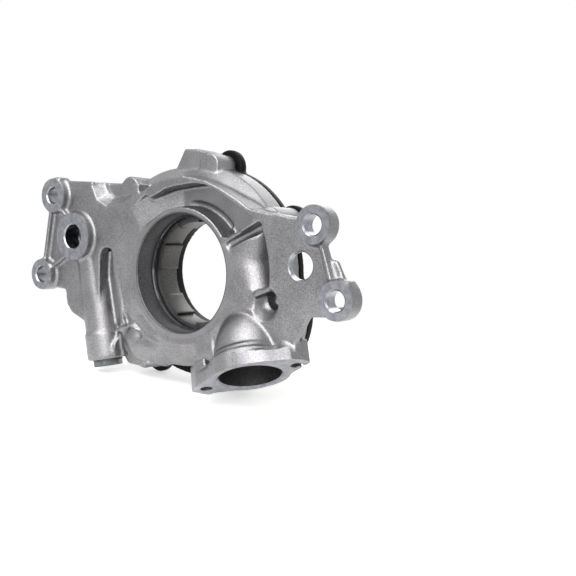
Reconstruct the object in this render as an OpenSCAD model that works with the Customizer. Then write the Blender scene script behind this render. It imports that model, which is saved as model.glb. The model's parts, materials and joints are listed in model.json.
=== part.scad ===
// Engine oil pump, driven by the crank: a gerotor pair in a cast housing, closed by a bolted cover,
// with a relief valve beside it. Millimetres, +Z up. The crank axis is the Y axis. y = 0 is the
// front of the hub. The mounting faces and the wings' fronts stand in front of it, towards the
// engine block, and the cover is on the +Y side. Outlines are drawn as seen from the block side, with x
// to the right and z up.

/* [Mounting bosses] */
// Upper left hole, sideways from the crank axis
left_reach = 93.7; // [88:0.1:112.5]
// Upper right hole, sideways from the crank axis
right_reach = 80.9; // [77:0.1:97.1]
// Upper left hole, above the crank axis
left_rise = 34.9; // [32:0.1:38]
// Upper right hole, above the crank axis
right_rise = 28.9; // [27:0.1:31]
// Lower left hole, below the crank axis
left_drop = 10.3; // [8:0.1:13]
// Lower right hole, below the crank axis
right_drop = 2.4; // [1:0.1:5]
// Lower left hole, outward of the upper one
left_spread = 7.9; // [5:0.1:11]
// Lower right hole, outward of the upper one
right_spread = 14; // [11:0.1:17]
// Outside diameter of a boss
boss_d = 17.8; // [16:0.1:19]
// Clearance hole for an M8 bolt
boss_bore_d = 9; // [8.4:0.1:10]
// Length of a boss along the crank axis
boss_length = 8; // [7.4:0.1:9.6]
// Hole through the right wing
wing_hole_d = 12.6; // [9:0.1:14]

/* [Walls and levels] */
// How far the mounting faces stand in front of the hub
boss_stand = 6; // [5:0.1:7]
// How far the wings stand in front of the hub
wing_stand = 1.6; // [1:0.1:2.2]
// Thickness of the wings at their ends
wing_t = 3.2; // [2.6:0.1:3.8]
// Width of the ribs between the bosses
rib_w = 2.2; // [1.8:0.1:3]
// How far the ribs stand in front of the wings
rib_rise = 3; // [1:0.1:3.4]
// From the front of the hub to the floor of the rotor pocket
pocket_floor = 13.5; // [13:0.1:16]
// Depth of the recesses in front, at their deep end
recess_depth = 9; // [6:0.1:9.5]
// Least wall between a passage and the outside
wall = 4; // [3:0.1:4.5]

/* [Hub and drum] */
// Bore of the hub on the block side
hub_bore_d = 59.8; // [57:0.1:61]
// Outside diameter of the hub ring
hub_d = 66.2; // [64.5:0.1:68]
// Ridge around the front of the drum
ridge_d = 96.4; // [94:0.1:98]
// Drum at the cover
drum_d = 109; // [108:0.1:114]
// Shift of the left lobe of the drum, which holds the discharge chamber
left_lobe_x = -13; // [-15:0.1:-11]
// Diameter of the left lobe
left_lobe_d = 111; // [109:0.1:114]
// Centre of the lower right lobe over the suction chamber, sideways
right_lobe_x = 28; // [26:0.1:30]
// Centre of the lower right lobe, below the crank axis
right_lobe_drop = 18; // [16:0.1:20]
// Diameter of the lower right lobe
right_lobe_d = 67; // [65:0.1:70]

/* [Rotors] */
// Width of the rotors along the crank axis
rotor_width = 13.4; // [11.2:0.1:16.1]
// Teeth of the inner rotor
teeth = 10; // [9:1:11]
// Offset of the outer rotor from the crank axis
eccentricity = 2.9; // [2.4:0.05:3.1]
// Radius from the outer rotor's axis to the centres of its lobes
lobe_ring_r = 45.8; // [45.4:0.05:46.2]
// Radius of each lobe
lobe_r = 10.5; // [10:0.05:11]
// Outside diameter of the outer rotor
outer_d = 93.2; // [92.4:0.05:94]
// Drive lands inside the inner rotor
drive_d = 52; // [50:0.1:53]
// Depth of the grooves between the drive lands
drive_depth = 1.2; // [0.8:0.1:1.6]
// Drive lands around the bore
drive_lands = 6; // [4:1:8]
// Angle from land to first axis
drive_turn = 47; // [0:1:59]

/* [Clearances] */
// Between each side of a rotor and its pocket
side_gap = 0.05; // [0.02:0.01:0.1]
// Between the outer rotor and its pocket, all round
pocket_gap = 0.08; // [0.03:0.01:0.1]
// Between the rotor teeth
tooth_gap = 0.06; // [0.03:0.01:0.12]
// Between the relief piston and its bore, all round
piston_gap = 0.05; // [0.02:0.01:0.1]
// Around bolt shanks and the relief plug's shank
thread_gap = 0.05; // [0.02:0.01:0.1]

/* [Cover] */
// Thickness of the cover plate at the bolt seats
cover_t = 4.5; // [4:0.1:6]
// Extra thickness of the raised middle of the cover
cover_step = 1.2; // [0.8:0.1:2]
// Bore of the cover
cover_bore_d = 55; // [54.6:0.1:57]
// Depth of the ports cut in the cover
cover_port_depth = 1.5; // [1:0.1:2]
// Diameter of the ears at the bolts
ear_d = 18; // [17:0.1:19]
// Bolt thread size
bolt_d = 6; // [5:0.5:6]
// Bolt head diameter
bolt_head_d = 9.2; // [8:0.1:10]
// Bolt flange diameter
bolt_flange_d = 12.4; // [11:0.1:13]
// Height of a bolt head with its flange
bolt_head_h = 5.6; // [5:0.1:7]
// Length of the bolt below its head
bolt_length = 16; // [14:0.1:17]

/* [Suction flange] */
// Opening for the pickup tube
suction_d = 29.7; // [28:0.1:30.4]
// Depth of the opening
suction_depth = 9.5; // [7:0.1:11]
// Distance between the two flange holes
flange_pitch = 47.2; // [46:0.1:49]
// Tapped holes in the flange
flange_hole_d = 6; // [5:0.1:6.6]
// Thickness of the flange
flange_t = 6; // [5:0.1:7]
// Outside diameter of the suction elbow
elbow_d = 31.8; // [31:0.1:33]

/* [Discharge] */
// Discharge boss, left of the crank axis
discharge_x = -75.4; // [-76:0.1:-74]
// Discharge boss, above the crank axis
discharge_z = 13.1; // [12:0.1:14]
// Outside diameter of the discharge boss
discharge_d = 26.8; // [25:0.1:28]
// Discharge opening
discharge_bore_d = 13.2; // [11:0.1:14]

/* [Relief valve] */
// Lower end of the relief bore, sideways
relief_x = -55.7; // [-56.5:0.1:-55]
// Lower end of the relief bore, below the crank axis
relief_drop = 53.5; // [53:0.1:56]
// Axis of the relief bore, behind the front of the wings
relief_depth = 5.5; // [5:0.1:6]
// Lean of the relief bore
relief_tilt = 14; // [13:0.5:15]
// Relief bore
relief_bore_d = 12.4; // [11.8:0.1:13]
// Outside diameter of the valve's lower end
relief_foot_d = 21.6; // [20.6:0.1:22.4]
// Length of the relief piston
piston_length = 14; // [12:0.5:15]
// Travel of the relief piston
piston_travel = 8; // [6:0.5:9]
// Valve seat, above the lower end of the bore
seat_height = 40; // [38:0.5:42]
// Wire of the relief spring
wire_d = 1.8; // [1.4:0.1:2]
// Active coils of the relief spring
coils = 8; // [6:1:9]

/* [Hidden] */
$fn = 96;
eps = 0.01;
edge = 0.6;
through = 200;
boss_r = boss_d / 2;
left_top_r = boss_r + 0.8;
left_top = [-left_reach, left_rise];
left_low = [-left_reach - left_spread, -left_drop];
right_top = [right_reach, right_rise];
right_low = [right_reach + right_spread, -right_drop];
bosses = [left_top, left_low, right_top, right_low];
face_y = -boss_stand;
boss_back = face_y + boss_length;
wing_front = -wing_stand;
wing_back = wing_front + wing_t;
core_back = 7.5;
rib_front = wing_front - rib_rise;
cut_front = -4;
joint_y = pocket_floor + rotor_width + 2 * side_gap;
pocket_c = [0, eccentricity];
pocket_r = outer_d / 2 + pocket_gap;
hub_r = hub_d / 2;
ridge_r = ridge_d / 2;
drum_r = drum_d / 2;
shoulder_y = 2 * core_back;
lip_y = pocket_floor - 2.9;
groove_in_r = 47.2;
groove_out_r = 54.4;
groove_floor = 11;
bottom_drop = 51.4;
left_lobe = [left_lobe_x, -2];
right_lobe = [right_lobe_x, -right_lobe_drop];
cover_back = joint_y + cover_t;
tooth_mean_r = lobe_ring_r - lobe_r;
outer_root_r = tooth_mean_r + 2 * eccentricity + 0.3;
port_in_r = hub_r;
port_out_r = outer_root_r - 0.4;
port_shallow_floor = pocket_floor - 2;
discharge_c = [discharge_x, discharge_z];
relief_foot = [relief_x, -relief_drop];
relief_bore_r = relief_bore_d / 2;
piston_r = relief_bore_r - piston_gap;
plug_shank = 8;
plug_r = relief_bore_r + 0.7;
washer_t = 1;
flange_c = [50.7, -3, -43.6];
flange_turn = [-26.3, -21, 16.3];
elbow_reach = 22.5;
elbow_tip_r = 12.6;
elbow_base = 10.6;
// Cover bolts, clockwise from the top as seen from the block side
bolt_at = [[5.5, 55], [47.3, 28.3], [56.6, -9], [21.5, -49.5], [-38, -51.5], [-53.4, 2], [-43, 41]];
bolt_front = [shoulder_y - 3, core_back, core_back, shoulder_y - 1, shoulder_y, core_back, 3];
bolt_boss_r = [5.8, 7.6, 7.5, 5.2, 5.6, 7, 6.5];
tower_foot = [-19.5, 50];
tower_top_z = 63;

// Shared shapes

// Carries an outline drawn in x and z from y0 to y1
module slab(y0, y1) {
    translate([0, y1, 0]) rotate([90, 0, 0]) linear_extrude(height = y1 - y0) children();
}

// A round bar along Y at p, with a radius for each end
module rod(p, y0, y1, r0, r1) {
    translate([p[0], y0, p[1]]) rotate([-90, 0, 0]) cylinder(h = y1 - y0, r1 = r0, r2 = r1);
}

// An outline of radius and level turned about an axis along Y at p
module turned(p, outline) {
    translate([p[0], 0, p[1]]) rotate([-90, 0, 0]) rotate_extrude() polygon(outline);
}

function polar(r, a) = r * [cos(a), sin(a)];

module wedge(r, a0, a1) {
    steps = ceil((a1 - a0) / 60);
    far = r / cos(30) + 1;
    polygon(concat([[0, 0]], [for (i = [0 : steps]) polar(far, a0 + (a1 - a0) * i / steps)]));
}

// Part of a ring between two angles
module arc_band(r0, r1, a0, a1) {
    intersection() {
        difference() {
            circle(r = r1);
            circle(r = r0);
        }
        wedge(r1, a0, a1);
    }
}

// A straight bar of width w between two points of an outline
module bar(p, q, w) {
    d = q - p;
    translate(p) rotate(atan2(d[1], d[0])) translate([0, -w / 2]) square([norm(d), w]);
}

module at_relief() {
    translate([relief_foot[0], relief_depth, relief_foot[1]]) rotate([0, -relief_tilt, 0]) children();
}

module at_flange() {
    translate(flange_c) rotate(flange_turn) children();
}

// Outlines of the housing

module left_wing_outline() {
    rim = boss_r - 0.1;
    polygon([left_top + [0, rim], [-30, left_top[1] + rim], [-30, -32], [-68.5, -33.5], [-79.3, -30],
             [-83.6, -25.6], [-85.2, -17.5], left_low + [0, -rim * 0.8], left_low + [-1, 0],
             left_top + [-4.2, 0]]);
}

module right_wing_outline() {
    polygon([[30, 36.5], [50, 33.2], [72, 31.3], right_top + [0, 4], right_top + [3.8, -6.4],
             right_low + [-2.7, 7.4], right_low + [-2, 0], right_low + [-2, -boss_r + 1], [79.7, -11.7],
             [73.6, -24], [75, -31.5], [66, -36], [45, -36], [28, -32]]);
}

// The lower left corner of the drum, around a cover bolt and the return passage
module corner_outline(inset) {
    polygon([[-48 + inset, -32], [-48 + inset, -47], [-42 + inset, -54.5 + inset],
             [-20 - inset, -54.5 + inset], [-14, -49 + inset], [-10, -35]]);
}

module cover_outline(inset) {
    circle(r = drum_r - inset);
    translate(left_lobe) circle(r = left_lobe_d / 2 - inset);
    translate(right_lobe) circle(r = right_lobe_d / 2 - inset);
    corner_outline(inset);
}

module ear_outline(i, r) {
    c = bolt_at[i];
    inward = -c / norm(c);
    side = [-inward[1], inward[0]];
    reach = r * 1.5;
    translate(c) circle(r = r);
    polygon([c + side * r, c - side * r, c - side * r * 1.35 + inward * reach,
             c + side * r * 1.35 + inward * reach]);
}

// Housing, from outside in

module wings() {
    slab(wing_front, wing_back) {
        left_wing_outline();
        right_wing_outline();
    }
    // Beside the drum the wings are thick enough for the recesses
    slab(wing_back - eps, core_back) {
        intersection() {
            left_wing_outline();
            polygon([[-64.5, 50], [-28, 50], [-28, -34], [-70, -34], [-74, -20]]);
        }
        intersection() {
            right_wing_outline();
            polygon([[66, 40], [62, -2], [70, -14], [66, -36], [20, -36], [20, 40]]);
        }
    }
    // Rims behind the edges
    slab(wing_back - eps, core_back) {
        bar(left_top + [7, boss_r - 1.5], [-44, left_top[1] + boss_r - 1.5], 2.6);
        bar([50, 31.6], right_top + [-boss_r + 1, 1.2], 2.6);
    }
    slab(wing_back - eps, shoulder_y) bar([55, -9], right_low + [-boss_r + 2, -5.8], 2.4);
}

module boss(p, r) {
    rod(p, face_y + edge, boss_back, r, r);
    rod(p, face_y, face_y + edge, r - edge, r);
}

// Where the bosses run out onto the wings
module boss_feet() {
    spread = 1;
    y0 = wing_front - spread;
    y1 = wing_front + eps;
    intersection() {
        union() {
            for (p = bosses) rod(p, y0, y1, boss_r, boss_r + spread);
            rod(left_top, y0, y1, left_top_r, left_top_r + spread);
            rod(discharge_c, y0, y1, discharge_d / 2, discharge_d / 2 + spread);
        }
        slab(y0, wing_back) {
            left_wing_outline();
            right_wing_outline();
        }
    }
}

module boss_ribs() {
    up = (left_top - left_low) / norm(left_top - left_low);
    out = [-up[1], up[0]];
    slab(rib_front, wing_back - 0.3) {
        bar(left_low + out, left_top + out * 2.4, rib_w);
        bar(left_top + [4.4, -6.5], discharge_c + [-7.5, 9.5], rib_w);
        bar(left_low + [5.5, 4.2], discharge_c + [-9, -11.5], rib_w);
    }
    slab(rib_front + 1, wing_back - 0.3) bar(right_top + [2.2, -5.4], right_low + [-4.4, 6.4], rib_w - 0.3);
    // Locating lug on the lower right boss, and the tab above it
    slab(rib_front + 0.6, wing_back) polygon([right_low + [-0.5, 8.6], right_low + [4.8, 9.1],
        right_low + [7.4, 5.6], right_low + [8.4, -2.8], right_low]);
    slab(wing_front + 0.8, wing_back + 0.2) polygon([right_top + [7, -14.2], right_top + [10.7, -14.7],
        right_low + [1.5, 8], right_low + [-4, 7]]);
    // Small block on top of the upper left boss
    slab(face_y + 0.8, wing_back) translate(left_top + [0.6, 0]) square([4.6, left_top_r + 0.6]);
}

module drum() {
    // Front disc with its rounded edge, and the cone back to the cover's outline
    rod([0, 0], wing_front, 6, ridge_r - 4.8, ridge_r);
    rod([0, 0], 6, core_back + 1, ridge_r, ridge_r + 0.8);
    difference() {
        union() {
            rod([0, 0], core_back + 1, shoulder_y, ridge_r + 0.8, drum_r);
            rod(left_lobe, core_back - 1, shoulder_y, left_lobe_d / 2 - 7, left_lobe_d / 2);
            slab(shoulder_y, joint_y) cover_outline(0);
        }
        // Under the drum the cover reaches past the casting
        slab(core_back, joint_y + 1) translate([-15, -bottom_drop - 20]) square([36, 20]);
    }
    rod(right_lobe, wing_front, core_back, right_lobe_d / 2 - 5.2, right_lobe_d / 2 - 0.6);
    rod(right_lobe, core_back, shoulder_y, right_lobe_d / 2 - 0.6, right_lobe_d / 2);
    // Wall around the groove in front
    slab(core_back - 1, shoulder_y + 0.5) arc_band(ridge_r - 2, groove_out_r + 2.2, -8, 37);
    slab(0.5, 4.5) corner_outline(2.2);
    slab(4.5, shoulder_y) corner_outline(0.6);
    // Ridge along the top
    slab(wing_front, shoulder_y) arc_band(ridge_r - 2.6, ridge_r, 27, 139);
    for (i = [0 : len(bolt_at) - 1]) {
        rod(bolt_at[i], bolt_front[i], joint_y, bolt_boss_r[i], bolt_boss_r[i]);
    }
    slab(joint_y - 5, joint_y) {
        for (i = [0 : len(bolt_at) - 1]) ear_outline(i, bolt_boss_r[i]);
    }
}

module tower() {
    right = bolt_at[0];
    slab(bolt_front[0] + 1, joint_y) polygon([tower_foot, [-12.6, tower_top_z], [-4, tower_top_z],
        right + [0, bolt_boss_r[0]], right + [0, -8], tower_foot + [2, -6]]);
}

module relief_body() {
    neck = 15;
    top = 54;
    at_relief() {
        cylinder(h = 1, r1 = relief_foot_d / 2 - 1, r2 = relief_foot_d / 2);
        translate([0, 0, 1]) cylinder(h = neck - 1.6, r = relief_foot_d / 2);
        translate([0, 0, neck - 0.6]) cylinder(h = 1.4, r1 = relief_foot_d / 2, r2 = relief_foot_d / 2 - 0.9);
        cylinder(h = top, r1 = relief_foot_d / 2 - 0.5, r2 = relief_foot_d / 2 - 1.4);
        translate([0, 0, top]) sphere(r = relief_foot_d / 2 - 1.45);
    }
}

module discharge_body() {
    r = discharge_d / 2;
    rod(discharge_c, face_y + edge, wing_back, r, r);
    rod(discharge_c, face_y, face_y + edge, r - edge, r);
    rod(discharge_c, wing_back - 1, shoulder_y + 1, r - 0.8, r - 1.6);
    slab(wing_back - 1, shoulder_y) translate([discharge_x, discharge_z - 11]) square([18, 22]);
}

// The pickup flange: a wide arc in front and two lugs
module flange_outline() {
    tip = flange_pitch / 2 + 7;
    circle(r = suction_d / 2 + 2.4);
    intersection() {
        translate([2, 12.3]) circle(r = 30);
        polygon([[-17.4, -20], [19, -20], [19, 7.3], [10, 14], [-10, 14], [-17.4, 10.9]]);
    }
    polygon([[-tip - 0.6, -0.9], [-25.5, -6.4], [-17.2, -10.8], [-17.2, 10.8], [-23, 8.4], [-27.4, 8.8]]);
    polygon([[18.8, -12.6], [25.2, -9.2], [tip - 1.4, -4.4], [tip - 0.3, -0.4], [tip - 0.6, 1], [18.8, 7.4]]);
}

module suction_body() {
    tip = flange_pitch / 2 + 7;
    neck_r = suction_d / 2 + 2.1;
    spread = 1.6;
    at_flange() {
        linear_extrude(height = flange_t) flange_outline();
        // The dome is a little wider along the flange than across it
        for (side = [-spread, spread]) translate([side, 0, 0]) {
            cylinder(h = 8.6, r = neck_r + 0.7);
            cylinder(h = elbow_base, r = neck_r);
            translate([0, 0, elbow_base - eps])
                cylinder(h = elbow_reach - elbow_base, r1 = elbow_d / 2, r2 = elbow_tip_r - 0.4);
            translate([0, 0, elbow_reach]) sphere(r = elbow_tip_r);
        }
        // The flange's ends grow into the casting
        linear_extrude(height = 12.6) polygon([[-tip - 0.6, -0.9], [-25.5, -6.4], [-14, -9.6], [-14, 9],
                                               [-23, 8.4], [-27.4, 8.8]]);
        linear_extrude(height = 11.4) polygon([[tip - 9, -5.4], [tip - 1.4, -4.4], [tip - 0.3, -0.4],
                                               [tip - 0.6, 1], [tip - 11, 7]]);
        translate([tip - 9, -5, 5]) cylinder(h = 9.4, r1 = 5.6, r2 = 1.6);
    }
}

// Hollows seen from the block side

// Slopes the floor of a recess: everything beyond p on the side that a points to is kept
module ramp(p, floor_y, turn, slope) {
    span = 60;
    translate([p[0], floor_y, p[1]]) rotate([0, -turn, 0]) rotate([0, 0, -slope])
        translate([0, 0, -span]) cube([span, span, 2 * span]);
}

module upper_recess() {
    difference() {
        slab(cut_front, recess_depth) arc_band(hub_r, ridge_r - 2.6, 24, 146);
        ramp([-7, 39], recess_depth, 188, 21);
    }
    difference() {
        slab(cut_front, recess_depth + 1.5) arc_band(hub_r, hub_r + 3.7, 28, 102);
        ramp([2, 34], recess_depth + 1.5, 186, 16);
    }
}

// Left of the hub, deepest in the corner beside the tube
module lower_recess() {
    corner = [-38.2, -28.3];
    floor_y = 5.5;
    difference() {
        slab(cut_front, floor_y) difference() {
            polygon([[-45.6, -0.5], [-42.7, -9], [-39.6, -18.8], [-37.2, -28.8], [-36.2, -30.4], [-33.4, -30],
                     [-30.6, -30.2], [-27.3, -31.8], [-22.5, -35], [-17.8, -36.8], [-12, -30], [-30, 0]]);
            circle(r = hub_r + 0.6);
        }
        ramp(corner, floor_y, 46, 20.8);
    }
}

// Right of the hub: a floor that sinks towards the rib, a groove with a rounded flank, a hole in a dish
module right_recess() {
    deep = [44, 24];
    floor_y = 4.5;
    difference() {
        slab(cut_front, floor_y) arc_band(hub_r + 0.6, groove_in_r + 2, -16, 31);
        ramp(deep, floor_y, 227.5, 10.9);
    }
    intersection() {
        turned([59.5, 12.5], [[0, cut_front], [18.6, cut_front], [18.4, 1], [17.7, 2.8], [16.6, 4.4],
                              [15.4, 6.4], [14.7, 8.6], [14.4, groove_floor], [0, groove_floor]]);
        rod([0, 0], cut_front - 1, groove_floor + 1, groove_out_r + 3, groove_out_r);
        slab(cut_front - 1, groove_floor + 1) wedge(through, -3, 31.5);
    }
    c = bolt_at[2] + [-0.4, 1.6];
    difference() {
        rod(c, cut_front, groove_floor, 4.5, 4.2);
        rod(c + [0.4, 0.6], 7, groove_floor + 1, 1.3, 1.3);
    }
    rod(c + [-1.6, -1.4], cut_front, 5.4, 10, 3.6);
}

module recess_ribs() {
    slab(-0.6, pocket_floor - 1) {
        bar([26.4, 17.4], [48.6, 29.8], 3);
        bar([48, -5.8], [58.5, -0.6], 2.2);
    }
}

// Between the relief tube and the ridge that borders the recess left of the hub
module slot_recess() {
    slab(cut_front, 5.4) polygon([[-58, 4.5], [-56.4, 7.4], [-54, 8.6], [-50.4, 8.6], [-48.2, 6.6],
                                  [-47.6, 2], [-46.9, -4], [-44.9, -9.6], [-41.7, -19.2],
                                  [-39.4, -28.8], [-40.2, -32], [-44, -34], [-56, -34]]);
}

module top_left_recess() {
    floor_y = core_back - 2.6;
    slab(cut_front, floor_y) polygon([[-60, 60], [-60, 40.6], [-57.6, 37.4], [-54, 35.6], [-50.6, 35.4],
                                      [-33.5, 39.8], [-36, 44], [-49, 41], [-50, 60]]);
    // Sloping flank on the left
    intersection() {
        slab(cut_front, floor_y) translate([-68, 33]) square([14, 30]);
        translate([-60.6, floor_y, 36]) rotate([0, -20, 0]) rotate([0, 0, -45]) translate([-20, -20, -30])
            cube([20, 20, 60]);
    }
}

// The front falls away towards the hub
module hub_dish() {
    rod([0, 0], wing_front - 0.2, 0, hub_r + 11.5, hub_r + 0.2);
}

// Passages inside

module port_outline(a0, a1) {
    intersection() {
        difference() {
            translate(pocket_c) circle(r = port_out_r);
            circle(r = port_in_r);
        }
        wedge(port_out_r + eccentricity, a0, a1);
    }
}

// Both ports, as cut in the housing's floor and in the cover
module ports(y0, y1) {
    slab(y0, y1) {
        port_outline(-74, 70);
        port_outline(110, 254);
    }
}

module suction_hollow() {
    at_flange() {
        translate([0, 0, -1]) cylinder(h = suction_depth + 1, r = suction_d / 2);
        translate([0, 0, -eps]) cylinder(h = 0.8, r1 = suction_d / 2 + 0.8, r2 = suction_d / 2);
        cylinder(h = elbow_base, r = elbow_d / 2 - wall);
        translate([0, 0, elbow_base - eps])
            cylinder(h = elbow_reach - elbow_base, r1 = elbow_d / 2 - wall, r2 = elbow_tip_r - 4.7);
        translate([0, 0, elbow_reach]) sphere(r = elbow_tip_r - 4.4);
        for (side = [-1, 1]) translate([side * flange_pitch / 2, 0, -1])
            cylinder(h = 12, r = flange_hole_d / 2);
    }
    slab(wall, pocket_floor + 1) port_outline(-52, 6);
    // Chamber beside the rotors, open to the cover
    slab(wall + 2, joint_y + 1) difference() {
        translate(right_lobe) circle(r = right_lobe_d / 2 - wall);
        translate(pocket_c) circle(r = pocket_r + 3.4);
        for (i = [2, 3]) translate(bolt_at[i]) circle(r = bolt_boss_r[i]);
        translate([0, -20]) square([through, through]);
    }
}

module discharge_hollow() {
    channel_back = pocket_floor - 2.2;
    channel_h = 11;
    rod(discharge_c, face_y - 1, channel_back, discharge_bore_d / 2, discharge_bore_d / 2);
    rod(discharge_c, face_y - eps, face_y + edge, discharge_bore_d / 2 + edge, discharge_bore_d / 2);
    slab(wall, pocket_floor + 1) port_outline(142, 196);
    slab(wall, channel_back) translate([discharge_x, 7]) square([-discharge_x - 36, channel_h]);
    slab(wall, shoulder_y + 2) translate([-62.5, 7]) square([8, channel_h]);
    // Chamber beside the rotors, open to the cover
    slab(shoulder_y, joint_y + 1) difference() {
        intersection() {
            translate(left_lobe) circle(r = left_lobe_d / 2 - wall);
            wedge(90, 150, 206);
        }
        translate(pocket_c) circle(r = pocket_r + 3.4);
        translate(bolt_at[5]) circle(r = bolt_boss_r[5]);
    }
}

// From the relief bore under the rotors back to the suction chamber
module return_hollow() {
    chamber = [-47, -31.5];
    track = pocket_r + 1.1;
    slab(core_back, joint_y + 1) translate(chamber) circle(r = 4.5);
    slab(joint_y - 9, joint_y + 1) {
        bar(chamber, polar(track, 222) + [1.5, 0], 5);
        arc_band(track - 1.5, track + 1.3, 220, 303);
    }
    // Cross bore, just below the valve seat
    mouth = relief_foot + (seat_height - 4) * [-sin(relief_tilt), cos(relief_tilt)];
    way = mouth - chamber;
    translate([chamber[0], relief_depth + 4.5, chamber[1]]) rotate([0, atan2(way[0], way[1]), 0])
        cylinder(h = norm(way), r = 2.8);
}

module relief_hollow() {
    at_relief() {
        translate([0, 0, -1]) cylinder(h = plug_shank + 2, r = plug_r + thread_gap);
        translate([0, 0, -1]) cylinder(h = seat_height + 1, r = relief_bore_r);
        cylinder(h = 63, r = relief_bore_r - 1.6);
    }
}

// The hub's bore ends in a lip, with a groove between the lip and the rotor
module rotor_pocket() {
    bore_r = hub_bore_d / 2;
    lip_h = 0.6;
    rod(pocket_c, pocket_floor, joint_y + 1, pocket_r, pocket_r);
    rod([0, 0], cut_front, lip_y, bore_r, bore_r);
    rod([0, 0], lip_y - 1, pocket_floor, bore_r - lip_h, bore_r - lip_h);
    rod([0, 0], lip_y + 1.5, pocket_floor + 1, bore_r + 0.4, bore_r + 0.4);
}

module holes() {
    for (p = bosses) {
        rod(p, face_y - 1, boss_back + 1, boss_bore_d / 2, boss_bore_d / 2);
        rod(p, face_y - eps, face_y + edge, boss_bore_d / 2 + edge, boss_bore_d / 2);
    }
    wing_hole = [right_reach - 7.5, right_rise - 18.5];
    rod(wing_hole, wing_front - 1, core_back + 1, wing_hole_d / 2, wing_hole_d / 2);
    rod(wing_hole, wing_front - eps, wing_front + edge, wing_hole_d / 2 + edge, wing_hole_d / 2);
    for (c = bolt_at) {
        rod(c, cover_back - bolt_length - 1.5, joint_y + 1, bolt_d / 2 + thread_gap, bolt_d / 2 + thread_gap);
    }
}

module pump_housing() {
    color([0.72, 0.72, 0.7]) difference() {
        union() {
            difference() {
                union() {
                    wings();
                    drum();
                }
                upper_recess();
                lower_recess();
                right_recess();
                slot_recess();
                top_left_recess();
                hub_dish();
            }
            recess_ribs();
            tower();
            relief_body();
            discharge_body();
            suction_body();
            boss_ribs();
            boss_feet();
            boss(left_top, left_top_r);
            for (p = [left_low, right_top, right_low]) boss(p, boss_r);
        }
        rotor_pocket();
        ports(port_shallow_floor, pocket_floor + 1);
        suction_hollow();
        discharge_hollow();
        return_hollow();
        relief_hollow();
        holes();
    }
}

// Cover

module cover_plate() {
    color([0.1, 0.1, 0.11]) difference() {
        union() {
            slab(joint_y, cover_back) {
                cover_outline(0);
                for (i = [0 : len(bolt_at) - 1]) ear_outline(i, ear_d / 2);
            }
            slab(joint_y + 1, cover_back + cover_step) difference() {
                cover_outline(3.2);
                for (c = bolt_at) translate(c) circle(r = ear_d / 2 - 0.4);
            }
        }
        rod([0, 0], joint_y - 1, cover_back + cover_step + 1, cover_bore_d / 2, cover_bore_d / 2);
        ports(joint_y - 1, joint_y + cover_port_depth);
        for (c = bolt_at) {
            rod(c, joint_y - 1, cover_back + 1, bolt_d / 2 + 0.3, bolt_d / 2 + 0.3);
        }
    }
}

module cover_bolt(c) {
    flange_h = 1.3;
    color([0.12, 0.12, 0.13]) difference() {
        union() {
            rod(c, cover_back - bolt_length, cover_back + eps, bolt_d / 2, bolt_d / 2);
            rod(c, cover_back, cover_back + flange_h, bolt_flange_d / 2, bolt_flange_d / 2 - 0.3);
            rod(c, cover_back + flange_h - eps, cover_back + bolt_head_h - 0.6, bolt_head_d / 2,
                bolt_head_d / 2);
            rod(c, cover_back + bolt_head_h - 0.6, cover_back + bolt_head_h, bolt_head_d / 2,
                bolt_head_d / 2 - 0.6);
        }
        slab(cover_back + bolt_head_h - 2.8, cover_back + bolt_head_h + 1) translate(c) {
            circle(r = 2);
            for (k = [0 : 5]) translate(polar(1.9, 60 * k)) circle(r = 0.7);
        }
    }
}

// Rotors

// Where the inner rotor's flank lies: the path of a lobe's centre, moved in by the lobe's radius
function tooth_path(t) =
    let (turns = (teeth + 1) * t,
         p = polar(lobe_ring_r, t) + polar(eccentricity, turns),
         v = polar(lobe_ring_r, t + 90) + polar((teeth + 1) * eccentricity, turns + 90))
    p - (lobe_r + tooth_gap) * [v[1], -v[0]] / norm(v);

// Points along the flank crowd together at the tooth roots, where it turns fastest
function crowded(s) = s + 0.135 * sin(360 * s);

module inner_rotor() {
    tooth_steps = 28;
    y0 = pocket_floor + side_gap;
    y1 = y0 + rotor_width;
    land_angle = 180 / drive_lands;
    groove_r = drive_d / 2 + drive_depth;
    color([0.5, 0.5, 0.51]) slab(y0, y1) difference() {
        rotate(90) polygon([for (i = [0 : tooth_steps * teeth - 1])
            tooth_path(360 / teeth * crowded(i / tooth_steps))]);
        difference() {
            circle(r = groove_r);
            for (k = [0 : drive_lands - 1]) {
                a = drive_turn + 360 * k / drive_lands;
                arc_band(drive_d / 2, groove_r + 1, a - land_angle / 2, a + land_angle / 2);
            }
        }
    }
}

module outer_rotor() {
    y0 = pocket_floor + side_gap;
    color([0.42, 0.42, 0.43]) slab(y0, y0 + rotor_width) translate(pocket_c) difference() {
        circle(r = outer_d / 2);
        difference() {
            circle(r = outer_root_r);
            for (k = [0 : teeth]) translate(polar(lobe_ring_r, 90 + 360 * k / (teeth + 1)))
                circle(r = lobe_r);
        }
    }
}

// Relief valve

module relief_piston() {
    crown = 3;
    cup_r = piston_r - 1.7;
    color([0.62, 0.62, 0.63]) at_relief() translate([0, 0, seat_height - piston_length]) difference() {
        union() {
            cylinder(h = piston_length - 0.5, r = piston_r);
            translate([0, 0, piston_length - 0.5]) cylinder(h = 0.5, r1 = piston_r, r2 = piston_r - 0.5);
        }
        translate([0, 0, -1]) cylinder(h = piston_length - crown + 1, r = cup_r);
        translate([0, 0, piston_length / 2]) rotate_extrude() translate([piston_r, 0]) circle(r = 0.4);
    }
}

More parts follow.
